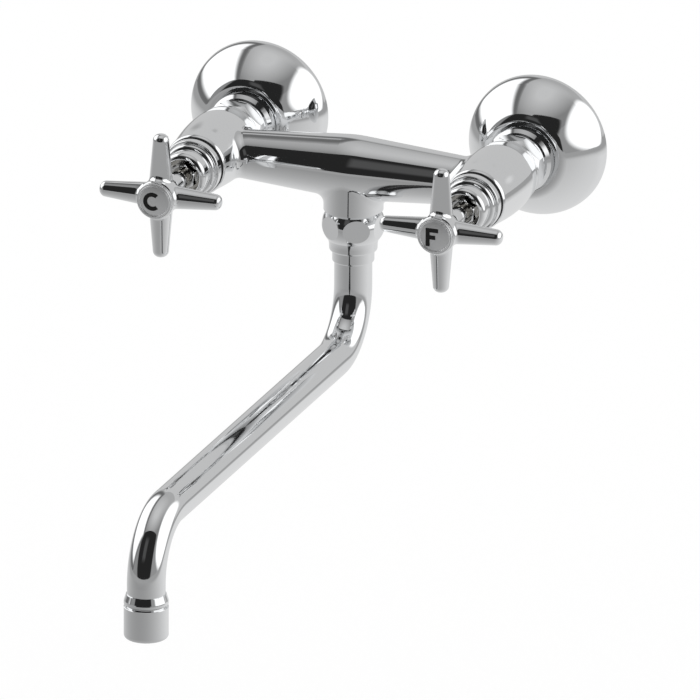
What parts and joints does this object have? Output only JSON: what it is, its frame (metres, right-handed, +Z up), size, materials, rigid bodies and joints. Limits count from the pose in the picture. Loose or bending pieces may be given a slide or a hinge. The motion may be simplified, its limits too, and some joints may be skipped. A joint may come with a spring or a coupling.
{
  "type": "wall-mounted kitchen faucet",
  "caption": "Wall-mounted kitchen faucet: cross handles on valve barrels, round rosettes, a tapered bridge body and a long swivelling tube spout with an aerator.",
  "frame": {"origin": "midway between the two supply inlets, on the finished wall plane", "axes": "+X to the right as seen from the front, +Y into the wall, +Z up; the spout reaches out along -Y"},
  "size_m": [0.2232, 0.3875, 0.1886],
  "materials": {
    "chrome": "mirror-polished chromium plate",
    "brass": "machined",
    "nickel": "nickel plate on brass",
    "stainless": "plain",
    "satin_chrome": "fine satin",
    "black_enamel": "gloss",
    "black_rubber": "matt",
    "red_fibre": "pressed fibre",
    "white_plastic": "smooth",
    "grey_plastic": "moulded"
  },
  "bodies": {
    "mixer_body": {"body_casting": "chrome", "eccentric_union_left": "chrome", "eccentric_union_right": "chrome", "wall_flange_left": "chrome", "wall_flange_right": "chrome", "union_nut_left": "chrome", "union_nut_right": "chrome", "inlet_nipple_left": "brass", "inlet_nipple_right": "brass", "union_washer_left": "red_fibre", "union_washer_right": "red_fibre", "headwork_body_left": "nickel", "headwork_body_right": "nickel", "headwork_washer_left": "red_fibre", "headwork_washer_right": "red_fibre", "gland_nut_left": "chrome", "gland_nut_right": "chrome", "stem_packing_left": "white_plastic", "stem_packing_right": "white_plastic", "bonnet_left": "chrome", "bonnet_right": "chrome", "bonnet_seal_left": "black_rubber", "bonnet_seal_right": "black_rubber", "spout_nut": "chrome", "spout_slip_ring": "white_plastic"},
    "handle_left": {"spindle_left": "nickel", "cross_handle_left": "chrome", "handle_screw_left": "stainless", "index_button_left": "satin_chrome", "index_letter_left": "black_enamel"},
    "valve_left": {"valve_plunger_left": "brass", "valve_washer_left": "black_rubber", "washer_screw_left": "brass"},
    "handle_right": {"spindle_right": "nickel", "cross_handle_right": "chrome", "handle_screw_right": "stainless", "index_button_right": "satin_chrome", "index_letter_right": "black_enamel"},
    "valve_right": {"valve_plunger_right": "brass", "valve_washer_right": "black_rubber", "washer_screw_right": "brass"},
    "spout": {"spout_tube": "chrome", "spout_connector": "brass", "spout_o_rings": "black_rubber", "outlet_ferrule": "chrome", "aerator_housing": "chrome", "aerator_seal": "black_rubber", "aerator_insert": "grey_plastic", "aerator_screen": "stainless"}
  },
  "joints": [
    {"name": "handle_turn_left", "type": "hinge", "parent": "mixer_body", "child": "handle_left", "pos_m": [-0.075, -0.143, -0.008], "axis": [0, -1, 0], "range_deg": [0, 1080]},
    {"name": "valve_lift_left", "type": "slide", "parent": "mixer_body", "child": "valve_left", "axis": [0, -1, 0], "range_m": [0, 0.005]},
    {"name": "handle_turn_right", "type": "hinge", "parent": "mixer_body", "child": "handle_right", "pos_m": [0.075, -0.143, -0.008], "axis": [0, -1, 0], "range_deg": [0, 1080]},
    {"name": "valve_lift_right", "type": "slide", "parent": "mixer_body", "child": "valve_right", "axis": [0, -1, 0], "range_m": [0, 0.005]},
    {"name": "spout_swivel", "type": "hinge", "parent": "mixer_body", "child": "spout", "pos_m": [0, -0.0667, -0.008], "axis": [0, 0, 1], "range_deg": [-90, 90]}
  ],
  "couplings": [
    {"joint": "valve_lift_left", "follows": "handle_turn_left", "m_per_rad": 0.000265},
    {"joint": "valve_lift_right", "follows": "handle_turn_right", "m_per_rad": 0.000265}
  ]
}
